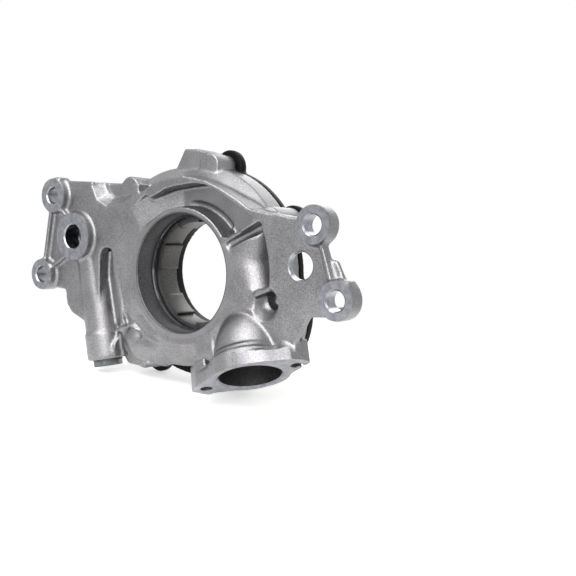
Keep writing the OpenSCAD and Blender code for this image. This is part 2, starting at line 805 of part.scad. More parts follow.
// A coil's section, cut level: as long along the turn as the wire takes to pass through the cut
module relief_spring() {
    foot = plug_shank;
    length = seat_height - 3 - foot;
    mean_r = piston_r - 1.7 - wire_d / 2 - 0.25;
    pitch = length / coils;
    swing = 180 * wire_d / pitch;
    color([0.35, 0.36, 0.38]) at_relief() translate([0, 0, foot])
        linear_extrude(height = length, twist = -360 * coils, slices = 20 * coils, $fn = 12)
            polygon([for (t = [0 : 20 : 340]) polar(mean_r + wire_d / 2 * cos(t), swing * sin(t))]);
}

module plug_washer() {
    color([0.2, 0.2, 0.21]) at_relief() translate([0, 0, -washer_t]) difference() {
        cylinder(h = washer_t, r = plug_r + 1.1);
        translate([0, 0, -1]) cylinder(h = washer_t + 2, r = plug_r + thread_gap);
    }
}

module relief_plug() {
    head_h = 2.8;
    color([0.66, 0.68, 0.62]) at_relief() difference() {
        union() {
            translate([0, 0, -washer_t]) cylinder(h = plug_shank + washer_t, r = plug_r);
            translate([0, 0, -washer_t - head_h]) cylinder(h = head_h, r = plug_r + 1, $fn = 6);
        }
        translate([0, 0, -washer_t - head_h - eps]) cylinder(h = 0.8, r1 = 3.4, r2 = 2.6);
    }
}

pump_housing();
cover_plate();
for (i = [1 : len(bolt_at)]) cover_bolt(bolt_at[i - 1]);
inner_rotor();
outer_rotor();
relief_piston();
relief_spring();
relief_plug();
plug_washer();
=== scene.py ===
# Engine oil pump driven by the crank: cast housing, black cover, steel rotors, relief valve
import bmesh
import bpy
import json
import math
import numpy as np
from mathutils import Matrix, Vector


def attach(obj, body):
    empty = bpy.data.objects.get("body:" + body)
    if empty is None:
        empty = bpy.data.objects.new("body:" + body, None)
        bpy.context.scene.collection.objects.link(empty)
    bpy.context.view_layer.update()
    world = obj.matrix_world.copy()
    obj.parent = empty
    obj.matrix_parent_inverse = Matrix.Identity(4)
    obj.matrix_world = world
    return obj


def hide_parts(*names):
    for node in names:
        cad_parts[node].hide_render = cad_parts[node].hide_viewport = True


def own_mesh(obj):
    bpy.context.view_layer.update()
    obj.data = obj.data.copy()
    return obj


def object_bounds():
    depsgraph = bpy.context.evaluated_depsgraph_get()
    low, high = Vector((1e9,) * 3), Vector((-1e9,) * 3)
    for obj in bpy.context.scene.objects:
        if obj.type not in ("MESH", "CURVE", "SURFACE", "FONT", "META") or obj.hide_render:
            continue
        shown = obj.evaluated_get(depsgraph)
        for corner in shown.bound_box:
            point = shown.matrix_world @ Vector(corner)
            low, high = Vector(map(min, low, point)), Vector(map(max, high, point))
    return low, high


mm = 0.001
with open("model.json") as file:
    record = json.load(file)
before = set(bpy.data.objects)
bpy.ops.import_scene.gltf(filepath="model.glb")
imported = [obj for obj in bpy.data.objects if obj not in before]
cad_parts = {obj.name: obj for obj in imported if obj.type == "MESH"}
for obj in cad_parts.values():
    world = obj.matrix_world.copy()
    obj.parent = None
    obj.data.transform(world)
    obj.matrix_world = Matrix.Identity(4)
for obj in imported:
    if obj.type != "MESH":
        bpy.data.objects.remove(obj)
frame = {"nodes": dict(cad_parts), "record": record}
nodes = frame["nodes"]
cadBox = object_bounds()
mounts = {m["name"]: m for m in frame["record"]["mounts"]}
print("frame loaded")


# Node helpers

def linearColour(code):
    # An sRGB hex colour as linear red, green, blue and alpha
    parts = [int(code[i:i + 2], 16) / 255 for i in (1, 3, 5)]
    return tuple(c / 12.92 if c <= 0.04045 else ((c + 0.055) / 1.055) ** 2.4 for c in parts) + (1.0,)


def addNode(tree, kind, values=None, links=None, **settings):
    node = tree.nodes.new(kind)
    for key, value in settings.items():
        setattr(node, key, value)
    for key, value in (values or {}).items():
        node.inputs[key].default_value = value
    for key, socket in (links or {}).items():
        tree.links.new(socket, node.inputs[key])
    return node


def perMetre(sizeMm):
    # The texture scale that gives a pattern this real size
    return 1000 / sizeMm


def newMaterial(name, **shader):
    material = bpy.data.materials.new(name)
    material.use_nodes = True
    tree = material.node_tree
    bsdf = tree.nodes["Principled BSDF"]
    for key, value in shader.items():
        bsdf.inputs[key.replace("_", " ")].default_value = value
    return material, tree, bsdf


def colourRamp(tree, factor, stops):
    # Blends between hex colours at the given places
    ramp = addNode(tree, "ShaderNodeValToRGB", links={"Fac": factor})
    elements = ramp.color_ramp.elements
    while len(elements) < len(stops):
        elements.new(0.5)
    for element, (place, code) in zip(elements, stops):
        element.position = place
        element.color = linearColour(code)
    return ramp.outputs["Color"]


def noise(tree, place, size, detail):
    # A cloudy pattern whose patches are about this many mm
    return addNode(tree, "ShaderNodeTexNoise", {"Scale": perMetre(size), "Detail": detail},
                   {"Vector": place}).outputs["Fac"]


def setRoughness(tree, bsdf, pattern, low, high):
    share = addNode(tree, "ShaderNodeMapRange", {"To Min": low, "To Max": high}, {"Value": pattern})
    tree.links.new(share.outputs["Result"], bsdf.inputs["Roughness"])


def setBump(tree, bsdf, height, strength, depth):
    bump = addNode(tree, "ShaderNodeBump", {"Strength": strength, "Distance": depth * mm}, {"Height": height})
    tree.links.new(bump.outputs["Normal"], bsdf.inputs["Normal"])


# Materials, with pattern sizes and depths in mm

castLook = {"pale": "#949395", "dull": "#6E6D6F", "patch": 16, "speck": 0.45, "speckShare": 0.45,
            "toneShift": 0.22, "grain": 0.8, "grainDepth": 0.16, "bump": 0.6, "roughLow": 0.34,
            "roughHigh": 0.46}
turnedLook = {"bright": "#9B9CA2", "dark": "#83848A", "wear": 3, "feed": 0.4, "depth": 0.012, "bump": 0.5,
              "rough": 0.26}
coatLook = {"colour": "#030303", "rough": 0.5, "specular": 0.12, "peel": 1.1, "peelDepth": 0.05, "bump": 0.5,
            "patch": 14, "roughLow": 0.42, "roughHigh": 0.56}
oxideLook = {"dark": "#151516", "bright": "#29292B", "metallic": 0.7, "rough": 0.34, "patch": 2.5,
             "roughLow": 0.26, "roughHigh": 0.44}
steelLook = {"smoother": 0.06, "rougher": 0.08, "bump": 0.3, "depth": 0.02}


def castAluminium():
    # Die-cast aluminium alloy, tumbled: satin grey, a fine sandy grain, faint patches from the die
    look = castLook
    material, tree, bsdf = newMaterial("dieCastAluminium", Metallic=1.0)
    place = addNode(tree, "ShaderNodeTexCoord").outputs["Object"]
    clouds = noise(tree, place, look["patch"], 3.0)
    specks = noise(tree, place, look["speck"], 1.0)
    mixed = addNode(tree, "ShaderNodeMath", {1: look["speckShare"]}, {0: clouds, 2: specks},
                    operation="MULTIPLY_ADD").outputs[0]
    tone = addNode(tree, "ShaderNodeMath", {1: look["toneShift"]}, {0: mixed},
                   operation="SUBTRACT").outputs[0]
    tree.links.new(colourRamp(tree, tone, [(0.3, look["dull"]), (0.7, look["pale"])]),
                   bsdf.inputs["Base Color"])
    setRoughness(tree, bsdf, clouds, look["roughLow"], look["roughHigh"])
    setBump(tree, bsdf, noise(tree, place, look["grain"], 3.0), look["bump"], look["grainDepth"])
    return material


def turnedAluminium(name, centre, normal):
    # Aluminium faced in a lathe or with a spot facer: bright, with fine rings around the hole
    look = turnedLook
    material, tree, bsdf = newMaterial(name, Metallic=1.0, Roughness=look["rough"])
    turn = Vector(normal).to_track_quat("Z", "Y").to_euler()
    place = addNode(tree, "ShaderNodeTexCoord").outputs["Object"]
    local = addNode(tree, "ShaderNodeMapping", {"Location": centre, "Rotation": turn}, {"Vector": place},
                    vector_type="TEXTURE").outputs["Vector"]
    flat = addNode(tree, "ShaderNodeVectorMath", {1: (1, 1, 0)}, {0: local}, operation="MULTIPLY").outputs[0]
    radius = addNode(tree, "ShaderNodeVectorMath", links={0: flat}, operation="LENGTH").outputs["Value"]
    phase = addNode(tree, "ShaderNodeMath", {1: 2 * math.pi * perMetre(look["feed"])}, {0: radius},
                    operation="MULTIPLY").outputs[0]
    ring = addNode(tree, "ShaderNodeMath", links={0: phase}, operation="SINE").outputs[0]
    wear = noise(tree, place, look["wear"], 3.0)
    tree.links.new(colourRamp(tree, wear, [(0.35, look["dark"]), (0.65, look["bright"])]),
                   bsdf.inputs["Base Color"])
    setBump(tree, bsdf, ring, look["bump"], look["depth"])
    return material


def blackCoating():
    # Cast steel cover under a baked black coat: deep black, satin, a faint orange peel
    look = coatLook
    material, tree, bsdf = newMaterial("bakedBlackCoat", Base_Color=linearColour(look["colour"]),
                                       Roughness=look["rough"], Specular_IOR_Level=look["specular"])
    place = addNode(tree, "ShaderNodeTexCoord").outputs["Object"]
    setBump(tree, bsdf, noise(tree, place, look["peel"], 2.0), look["bump"], look["peelDepth"])
    setRoughness(tree, bsdf, noise(tree, place, look["patch"], 2.0), look["roughLow"], look["roughHigh"])
    return material


def blackOxide():
    # Black oxide on machined steel: dark, a little metallic, rougher in some patches
    look = oxideLook
    material, tree, bsdf = newMaterial("blackOxideSteel", Metallic=look["metallic"], Roughness=look["rough"])
    place = addNode(tree, "ShaderNodeTexCoord").outputs["Object"]
    clouds = noise(tree, place, look["patch"], 3.0)
    tree.links.new(colourRamp(tree, clouds, [(0.3, look["dark"]), (0.7, look["bright"])]),
                   bsdf.inputs["Base Color"])
    setRoughness(tree, bsdf, clouds, look["roughLow"], look["roughHigh"])
    return material


def steel(name, dark, bright, rough, grain):
    # Plain or sintered steel: grey, with a fine grain in colour and shine
    look = steelLook
    material, tree, bsdf = newMaterial(name, Metallic=1.0)
    place = addNode(tree, "ShaderNodeTexCoord").outputs["Object"]
    clouds = noise(tree, place, grain, 5.0)
    tree.links.new(colourRamp(tree, clouds, [(0.3, dark), (0.7, bright)]), bsdf.inputs["Base Color"])
    setRoughness(tree, bsdf, clouds, rough - look["smoother"], rough + look["rougher"])
    setBump(tree, bsdf, clouds, look["bump"], look["depth"])
    return material


castMaterial = castAluminium()
# Bore walls: a rough as-cast skin whose dark colour is painted shade for the shadow deep in the hub bore and
# suction opening
boreWallPaintedShade = steel("asCastBoreWallPaintedShade", "#4C4B4D", "#626163", 0.46, 1.2)
coverMaterial = blackCoating()
boltMaterial = blackOxide()
rotorMaterial = steel("sinteredSteel", "#434242", "#5D5C5B", 0.4, 0.8)
outerMaterial = steel("steamTreatedSinteredSteel", "#77787A", "#939495", 0.38, 0.8)
pistonMaterial = steel("groundSteel", "#A9AAAC", "#C6C6C8", 0.2, 2)
springMaterial = steel("drawnSpringWire", "#6C6E72", "#8B8D90", 0.3, 0.5)
plugMaterial = steel("clearZincPlate", "#565A5A", "#6E7272", 0.34, 1.5)
washerMaterial = steel("phosphatedSteel", "#4A4A4B", "#636364", 0.5, 0.6)
print("materials made")


# Mesh helpers

def meshObject(name, points, faces, material=None):
    mesh = bpy.data.meshes.new(name)
    mesh.from_pydata(points, [], faces)
    mesh.update()
    thing = bpy.data.objects.new(name, mesh)
    bpy.context.scene.collection.objects.link(thing)
    if material:
        mesh.materials.append(material)
    return thing


def lathe(name, centre, axis, profile, material=None, sides=96):
    # A closed profile of (radius, height) pairs in mm turned about an axis; it starts and ends at radius 0
    axis = Vector(axis).normalized()
    turn = axis.to_track_quat("Z", "Y").to_matrix()
    radius, height = np.array(profile[1:-1]).T * mm
    angle = 2 * np.pi * np.arange(sides) / sides
    ring = np.stack([np.outer(radius, np.cos(angle)), np.outer(radius, np.sin(angle)),
                     np.outer(height, np.ones(sides))], axis=-1).reshape(-1, 3)
    poles = np.array([[0, 0, profile[0][1] * mm], [0, 0, profile[-1][1] * mm]])
    points = np.vstack([ring, poles]) @ np.array(turn).T + np.array(centre)
    rows = len(radius)
    k = np.arange(sides)
    near = (np.arange(rows - 1)[:, None] * sides + k).ravel()
    far = (np.arange(rows - 1)[:, None] * sides + (k + 1) % sides).ravel()
    walls = np.stack([near, far, far + sides, near + sides], axis=1)
    first, last = rows * sides, rows * sides + 1
    startCap = np.stack([np.full(sides, first), (k + 1) % sides, k], axis=1)
    endRow = (rows - 1) * sides
    endCap = np.stack([np.full(sides, last), endRow + k, endRow + (k + 1) % sides], axis=1)
    faces = walls.tolist() + startCap.tolist() + endCap.tolist()
    return meshObject(name, points.tolist(), faces, material)


def bake(thing):
    # Applies the modifiers and keeps the result as the object's own mesh
    graph = bpy.context.evaluated_depsgraph_get()
    mesh = bpy.data.meshes.new_from_object(thing.evaluated_get(graph))
    thing.modifiers.clear()
    thing.data = mesh
    return thing


def cadCopy(nodeName, name):
    # The CAD node's mesh in a new object, with its loose triangles joined
    thing = bpy.data.objects.new(name, nodes[nodeName].data.copy())
    bpy.context.scene.collection.objects.link(thing)
    thing.data.materials.clear()
    weld = thing.modifiers.new("weld", "WELD")
    weld.merge_threshold = 0.001 * mm
    return bake(thing)


def flatFaces(thing, normal, level):
    # The triangles of a mesh that lie in a plane: their corners, as an array of n x 3 x 3
    thing.data.calc_loop_triangles()
    corners = np.empty(len(thing.data.vertices) * 3)
    thing.data.vertices.foreach_get("co", corners)
    index = np.empty(len(thing.data.loop_triangles) * 3, int)
    thing.data.loop_triangles.foreach_get("vertices", index)
    triangles = corners.reshape(-1, 3)[index].reshape(-1, 3, 3)
    return triangles[np.abs(triangles @ np.array(normal) - level).max(axis=1) < 0.004 * mm]


def allowance(triangles, normal, height):
    # Metal left on a face for machining: each triangle drawn out into a prism along the normal
    rise = np.array(normal) * height
    points = np.concatenate([triangles - rise * 0.5, triangles + rise], axis=1).reshape(-1, 3)
    base = np.arange(len(triangles))[:, None] * 6
    caps = np.vstack([base + [0, 2, 1], base + [3, 4, 5]]).tolist()
    sides = np.vstack([base + [0, 1, 4, 3], base + [1, 2, 5, 4], base + [2, 0, 3, 5]]).tolist()
    return meshObject("allowance", points.tolist(), caps + sides)


def join(things, name):
    for other in bpy.context.selected_objects:
        other.select_set(False)
    for thing in things:
        thing.select_set(True)
    bpy.context.view_layer.objects.active = things[0]
    bpy.ops.object.join()
    things[0].name = name
    return things[0]


def prism(name, front, back):
    # A closed solid between two outlines with the same number of (x, y, z) points in mm
    count = len(front)
    points = [Vector(p) * mm for p in (*front, *back)]
    sides = [(k, (k + 1) % count, (k + 1) % count + count, k + count) for k in range(count)]
    return meshObject(name, points, [tuple(range(count))[::-1], tuple(range(count, 2 * count)), *sides])


def atLevel(outline, level):
    return [(x, level, z) for x, z in outline]


def arcPoints(radius, start, end, count=13):
    # Points on a circle about the crank axis, from one angle to another in degrees
    angles = np.radians(np.linspace(start, end, count))
    return [(float(radius * np.cos(t)), float(radius * np.sin(t))) for t in angles]


def spheres(name, matrices):
    # Unit spheres put in place, stretched and turned by a matrix each, in one object
    shape = bmesh.new()
    for matrix in matrices:
        bmesh.ops.create_uvsphere(shape, u_segments=40, v_segments=24, radius=1, matrix=matrix)
    thing = meshObject(name, [], [])
    shape.to_mesh(thing.data)
    shape.free()
    return thing


def rolled(name, stations, steps=8):
    # The path of a ball on a smooth curve through (x, y, z, radius) stations in mm
    path = np.array(stations, float)
    path = np.vstack([2 * path[0] - path[1], path, 2 * path[-1] - path[-2]])
    balls = []
    for a, b, c, d in zip(path, path[1:], path[2:], path[3:]):
        for t in np.linspace(0, 1, steps, endpoint=False):
            balls.append(0.5 * (2 * b + (c - a) * t + (2 * a - 5 * b + 4 * c - d) * t ** 2
                                + (3 * b - a - 3 * c + d) * t ** 3))
    balls.append(path[-2])
    return spheres(name, [Matrix.Translation(Vector(ball[:3]) * mm) @ Matrix.Scale(ball[3] * mm, 4)
                          for ball in balls])


def soften(thing, changes, form):
    # Adds and takes away the given forms in turn. Then inner corners get a fillet and outer edges a
    # rounding: the skin is moved out, in and out again
    voxel, fillet, rounding = form["voxel"], form["fillet"], form["rounding"]
    group = bpy.data.node_groups.new("soften", "GeometryNodeTree")
    group.interface.new_socket("Geometry", in_out="INPUT", socket_type="NodeSocketGeometry")
    group.interface.new_socket("Geometry", in_out="OUTPUT", socket_type="NodeSocketGeometry")

    def gridOf(skin, reach):
        band = math.ceil(abs(reach) / voxel) + 3
        return addNode(group, "GeometryNodeMeshToSDFGrid", {"Voxel Size": voxel * mm, "Band Width": band},
                       {"Mesh": skin}).outputs[0]

    field = gridOf(group.nodes.new("NodeGroupInput").outputs[0], fillet)
    for other, operation in changes:
        held = addNode(group, "GeometryNodeObjectInfo", {"Object": other})
        blend = addNode(group, "GeometryNodeSDFGridBoolean", operation=operation)
        group.links.new(field, blend.inputs[0 if operation == "DIFFERENCE" else 1])
        group.links.new(gridOf(held.outputs["Geometry"], fillet), blend.inputs[1])
        field = blend.outputs[0]
    skin = addNode(group, "GeometryNodeGridToMesh", {"Threshold": fillet * mm},
                   {"Grid": field}).outputs["Mesh"]
    for step in (-fillet - rounding, rounding):
        skin = addNode(group, "GeometryNodeGridToMesh", {"Threshold": step * mm},
                       {"Grid": gridOf(skin, step)}).outputs["Mesh"]
    group.links.new(skin, group.nodes.new("NodeGroupOutput").inputs[0])
    thing.modifiers.new("soften", "NODES").node_group = group
    bake(thing)
    for other, operation in changes:
        bpy.data.objects.remove(other)
    return thing


def thin(thing, triangles):
    # Fewer triangles where the skin is flat
    now = sum(len(p.vertices) - 2 for p in thing.data.polygons)
    modifier = thing.modifiers.new("thin", "DECIMATE")
    modifier.ratio = min(1.0, triangles / now)
    return bake(thing)


def cut(thing, cutters):
    for cutter in cutters:
        modifier = thing.modifiers.new("cut", "BOOLEAN")
        modifier.operation = "DIFFERENCE"
        modifier.solver = "MANIFOLD"
        modifier.object = cutter
        modifier.material_mode = "TRANSFER"
        bake(thing)
        bpy.data.objects.remove(cutter)
    return thing


def shadeByAngle(thing, degrees):
    thing.data.polygons.foreach_set("use_smooth", [True] * len(thing.data.polygons))
    thing.data.set_sharp_from_angle(angle=math.radians(degrees))


def finishPiece(piece, nodeName):
    body = next(b for b, members in frame["record"]["behaviour"]["bodies"].items() if nodeName in members)
    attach(piece, body)
    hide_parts(nodeName)


# Housing: the casting softened like one that left a die, then its machined faces and bores cut sharp

housing = {"voxel": 0.5, "fillet": 1.1, "rounding": 0.6, "triangles": 160000, "allowance": 1.0,
           "chamfer": 0.6, "boreEdge": 0.9}
coverForm = {"voxel": 0.5, "fillet": 0.7, "rounding": 0.5, "triangles": 90000}
# In degrees: shading is smooth across edges up to these angles, and a bevel starts at the last one
smoothAngle = {"housing": 38, "cover": 40, "edged": 35, "spring": 60}
bevelAngle = 40
bevelSegments = 2
# Sides of the turned cutters, more where the radius is large
fineSides = {"bore": 200, "lip": 160, "flange": 128}

# Sizes in mm: radii, and levels along the crank axis
bossRadius = 9.7
dischargeRadius = 13.4
pocketRadius = 46.68
pocketRise = 2.9
faceLevel = -6.0
cutLevel = -4.0
wingFront = -1.6
wingBack = 1.6
bossBack = 2.0
lipLevel = 10.6
pocketLevel = 13.5
jointLevel = 27.0
# How far a cutter starts outside the metal, and how far a plug reaches into a bore's wall
toolRoom = 4
plugRoom = 1

crankAxis = (0, 1, 0)
crankCentre = (0, 0, 0)
flangeAlong = Vector((0.896, 0.262, 0.358))
# The space over the elbow's dome, and the dome itself, in the flange's own directions
domeRoom = {"low": 8.6, "high": 40.0, "side": 19.0, "reach": 30}
elbowDome = {"shift": 0.4, "depth": 9, "halfAxes": (17.4, 15.1, 25.6)}


def boreOf(name):
    # A bore's place across the crank axis, in metres, and its radius in mm
    mount = mounts[name]
    return (mount["pos_m"][0], 0, mount["pos_m"][2]), mount["dims"]["r_mm"]


def flangeFrame():
    # The mouth of the suction elbow: X along the flange, Z into the casting, in metres
    inward = -Vector(mounts["suction_face"]["axis"]).normalized()
    along = (flangeAlong - inward * flangeAlong.dot(inward)).normalized()
    turn = Matrix((along, inward.cross(along), inward)).transposed()
    centre = Vector(mounts["suction_port"]["pos_m"])
    level = inward.dot(Vector(mounts["suction_face"]["pos_m"]) - centre)
    return Matrix.Translation(centre + inward * level) @ turn.to_4x4()


def carvedForms():
    # What the soft forms take the place of
    trough = [(31.2, 16.2), (48.6, 26.6), (50.4, 26.2), (52.8, 20.5), (54.1, 14.1), (55.1, 8), (55.3, 2.4),
              (54.2, -1.6), (49.4, -3.2), (45.5, -4.2), (40, -3), (37.2, 3), (35.7, 10), (33.6, 14)]
    lobe = [(-46, -37), (-41.4, -35.4), (-40, -33), (-36, -31), (-28, -33), (-20, -35.6), (-13, -37),
            (-13, -56), (-46, -56)]
    under = [*arcPoints(36, 236, 291), *arcPoints(54, 291, 236)]
    underBack = [(x, 8, z) if math.hypot(x, z) < 45 else (x, 16, z) for x, z in under]
    belly = [(-28, -52), (-20, -50.4), (-7.5, -48.8), (6, -47), (14, -46.6), (14, -60), (-28, -60)]
    flankOuter = [(-66.8, 40.8), (-62.4, 33.4), (-53.3, 29.7), (-42.7, 31.9), (-35, 35.6), (-35, 62),
                  (-66.8, 62)]
    flankInner = [(-62.4, 42.6), (-59.2, 38.2), (-54, 35.4), (-42.5, 37.4), (-35, 40.6), (-35, 62),
                  (-63, 62)]
    things = [
        prism("carved", atLevel(trough, cutLevel), atLevel(trough, 9.5)),
        prism("carved", atLevel(lobe, cutLevel), atLevel(lobe, 7)),
        prism("carved", atLevel(under, cutLevel), underBack),
        prism("carved", atLevel(belly, cutLevel), atLevel(belly, 26)),
        prism("carved", atLevel(flankOuter, wingFront - 0.6), atLevel(flankInner, 4.4)),
    ]
    # Room for the elbow's dome, down to the hub's face on the left and to the wing's front on the right
    mouth = flangeFrame()
    low, high, side = (domeRoom[key] * mm for key in ("low", "high", "side"))
    corners = [mouth @ Vector(c)
               for c in ((-side, 0, low), (side, 0, low), (side, 0, high), (-side, 0, high))]
    levels = (0, wingFront * mm, wingFront * mm, 0)
    forward = mouth.to_3x3().col[1]
    if forward.y > 0:
        forward = -forward
    near = [tuple((c + forward * (c.y - level) / -forward.y) * 1000) for c, level in zip(corners, levels)]
    far = [tuple(Vector(p) + forward * domeRoom["reach"]) for p in near]
    things.append(prism("carved", far, near))
    return things


def addedForms():
    # What the casting has beyond the plain forms of the CAD model
    ridge = [(-22.1, 36.3), (-11, 41.6), (-1, 43.5), (8.2, 44.5), (14.9, 44), (21.4, 42.2), (32.2, 36.9),
             (43.6, 31.2), (45.6, 32.4), (36.3, 37.9), (25.6, 42.7), (14.7, 46.5), (3.6, 47.7), (-6, 46.6),
             (-14.7, 44.2), (-24.4, 37.8)]
    shoulder = [(-71, 33), (-71, 43), (-66.9, 43), (-66.9, 33)]
    # The hub's face falls away beside the groove and into the corner lobe: x, z and the level there
    filler = [(-47.6, 2, -1.6), (-46.9, -4, -1.6), (-44.9, -9.6, -1.5), (-41.7, -19.2, -0.9),
              (-40.4, -25, 0.4), (-38.6, -31.4, 2.6), (-28, -35, 3.2), (-18, -38, 1.4), (-24.5, -25, 0.3),
              (-30, -17, -0.1), (-34, -8, -0.2), (-36, 0, -0.3)]
    # Round masses: right of the hub, three that make the corner lobe, and one under the bore
    rolls = [
        [(37.4, 13.2, 22, 12.8), (34.8, 14, 10, 14), (37.2, 14, 1, 14), (40.4, 12.6, -5, 12.6)],
        [(-32.4, 8.4, -38.4, 9.2), (-30.4, 8.6, -41.3, 9.2), (-25, 9, -41.3, 9.4), (-17, 10, -40.8, 10)],
        [(-43, 8.6, -29, 5.6), (-42.6, 10, -36, 6.2), (-41, 11, -43.5, 6.4)],
        [(-40.6, 3.2, -22, 1.6), (-39.8, 4, -28, 2.6), (-40, 5.2, -32.5, 4), (-38.6, 7.2, -36, 6.2)],
        [(-26, 12, -27.6, 12), (-18, 12.6, -33.6, 12.6), (-5.6, 12.4, -37, 12.4), (4.6, 11, -36, 11),
         (13, 9.6, -32.4, 9.6), (22, 9, -28, 9)],
    ]
    mouth = flangeFrame()
    middle = Matrix.Translation((elbowDome["shift"] * mm, 0, elbowDome["depth"] * mm))
    stretch = Matrix.Diagonal((*(half * mm for half in elbowDome["halfAxes"]), 1))
    return [
        prism("added", atLevel(shoulder, wingFront), atLevel(shoulder, wingBack)),
        prism("added", atLevel(ridge, wingFront), atLevel(ridge, 12)),
        *[rolled("added", roll) for roll in rolls],
        prism("added", [(x, y, z) for x, z, y in filler], [(x, 9, z) for x, z, y in filler]),
        spheres("added", [mouth @ middle @ stretch]),
        lathe("added", mouth @ Vector((0.3 * mm, 0, 0)), mouth.to_3x3().col[2],
              [(0, 3), (17.6, 3), (16.6, 11.4), (0, 11.4)]),
    ]


def hollowForms():
    # The way in through the suction elbow, and the deep recesses of the block side
    mouth = flangeFrame()
    way = [(0, 0, 6, 12.2), (0, 0.6, 14, 11.6), (0, 3, 21, 10), (0, 8, 26, 9)]
    stations = [tuple((mouth @ (Vector(w[:3]) * mm)) * 1000) + (w[3],) for w in way]
    recess = [(-11, 41.9), (-1, 43.7), (8.2, 44.9), (14.9, 44.4), (21.4, 42.2), (32.2, 36.9), (39, 33.4),
              (46.2, 29.4), (28.6, 19.2), (27.3, 22), (20, 34.6), (8, 39.2), (-7, 39.4)]
    trough = [(29, 17.2), (49.2, 28.9), (51.4, 25.6), (40.6, 20.2), (30.6, 14.4)]
    depths = (2.2, 7, 7, 3.4, 1)
    return [rolled("hollow", stations),
            prism("hollow", atLevel(recess, cutLevel), atLevel(recess, 9)),
            prism("hollow", atLevel(trough, cutLevel), [(x, y, z) for (x, z), y in zip(trough, depths)]),
            rolled("hollow", [(58.3, 2, -7.0, 4.6), (58.3, 6.5, -7.0, 4.2)])]


def plug(at, axis, radius, start, end):
    # Fills a bore before the casting is softened, so that its edge can be cut sharp afterwards
    return lathe("plug", at, axis, [(0, start), (radius, start), (radius, end), (0, end)])


def bossTools():
    # The four mounting bosses: both ends spot faced, the hole bored and bevelled
    spare, bevel = housing["allowance"], housing["chamfer"]
    plugs, cutters = [], []
    for corner in ("upper_left", "lower_left", "upper_right", "lower_right"):
        at, radius = boreOf("bolt_hole_" + corner)
        plugs.append(plug(at, crankAxis, radius + plugRoom, faceLevel - spare, bossBack + spare))
        cutters.append(lathe("cutter", at, crankAxis, [
            (0, faceLevel - toolRoom), (bossRadius + 2.5, faceLevel - toolRoom),
            (bossRadius + 2.5, faceLevel), (radius + bevel, faceLevel), (radius, faceLevel + bevel),
            (radius, bossBack - bevel), (radius + bevel, bossBack), (bossRadius + 1, bossBack),
            (bossRadius + 1, bossBack + toolRoom), (0, bossBack + toolRoom)],
            turnedAluminium("spotFacedAluminium_" + corner, at, crankAxis)))
    return plugs, cutters


def sideTools():
    # The discharge boss with its blind bore, and the hole through the right wing
    bevel = housing["chamfer"]
    at, radius = boreOf("discharge_port")
    plugs = [plug(at, crankAxis, radius + plugRoom, faceLevel - housing["allowance"], 3.5)]
    cutters = [lathe("cutter", at, crankAxis, [
        (0, faceLevel - toolRoom), (dischargeRadius + 1, faceLevel - toolRoom),
        (dischargeRadius + 1, faceLevel), (radius + bevel, faceLevel), (radius, faceLevel + bevel),
        (radius, 4.2), (0, 4.2)],
        turnedAluminium("facedAluminium_discharge", at, crankAxis))]
    at, radius = boreOf("wing_hole")
    plugs.append(plug(at, crankAxis, radius + plugRoom, wingFront, wingBack))
    cutters.append(lathe("cutter", at, crankAxis, [
        (0, wingFront - toolRoom), (radius + bevel + toolRoom, wingFront - toolRoom),
        (radius, wingFront + bevel), (radius, 9), (0, 9)],
        turnedAluminium("boredAluminium_wing", at, crankAxis)))
    return plugs, cutters


def hubTools():
    # The bore of the hub with its rounded edge and as-cast wall, whose dark colour is painted shade, the lip
    # behind it and the rotor pocket
    radius = boreOf("crank_bore")[1]
    plugs = [lathe("plug", crankCentre, crankAxis, [
        (0, 0.3), (radius + 0.6, 0.3), (radius + 0.6, 8), (radius + 1.5, 9), (radius + 1.5, 20), (0, 20)])]
    edge = housing["boreEdge"]
    arc = [(radius + edge * (1 - math.sin(t)), edge * (1 - math.cos(t)))
           for t in np.radians([0, 18, 36, 54, 72, 90])]
    # The bore's wall gets the dark colour that is painted shade
    cutters = [lathe("cutter", crankCentre, crankAxis, [
        (0, cutLevel), (radius + edge, cutLevel), *arc, (radius, lipLevel), (0, lipLevel)],
        boreWallPaintedShade, fineSides["bore"])]
    bored = turnedAluminium("boredAluminium_hub", crankCentre, crankAxis)
    cutters.append(lathe("cutter", crankCentre, crankAxis, [
        (0, 4), (radius - 0.6, 4), (radius - 0.6, lipLevel + 1.3), (radius - 0.4, lipLevel + 1.5),
        (radius + 0.4, lipLevel + 1.5), (radius + 0.4, 20), (0, 20)], bored, fineSides["lip"]))
    middle = (0, 0, pocketRise * mm)
    plugs.append(plug(middle, crankAxis, pocketRadius + 0.5, pocketLevel, jointLevel))
    cutters.append(lathe("cutter", middle, crankAxis, [
        (0, pocketLevel), (pocketRadius, pocketLevel), (pocketRadius, jointLevel + 3), (0, jointLevel + 3)],
        bored, fineSides["bore"]))
    return plugs, cutters


def flangeTools(body):
    # The suction flange: metal left on its face, then the face milled and the opening bored
    radius = boreOf("suction_port")[1]
    centre = np.array(mounts["suction_port"]["pos_m"])
    flange = mounts["suction_face"]
    outward = np.array(flange["axis"])
    level = float(np.array(flange["pos_m"]) @ outward)
    spare = housing["allowance"]
    mouth = centre + outward * (level - float(centre @ outward))
    plugs = [allowance(flatFaces(body, outward, level), outward, spare * mm),
             plug(mouth, -outward, radius + 1.2, -spare, 9.4)]
    cutters = [
        lathe("cutter", mouth, -outward, [
            (0, -20), (36, -20), (36, 0), (radius + 0.8, 0), (radius, 0.8), (0, 0.8)],
            turnedAluminium("milledAluminium_flange", tuple(mouth), tuple(outward)), fineSides["flange"]),
        # The opening's wall gets the dark colour that is painted shade
        lathe("cutter", mouth, -outward, [(0, 0.4), (radius, 0.4), (radius, 9.5), (0, 9.5)],
              boreWallPaintedShade, fineSides["flange"]),
    ]
    return plugs, cutters


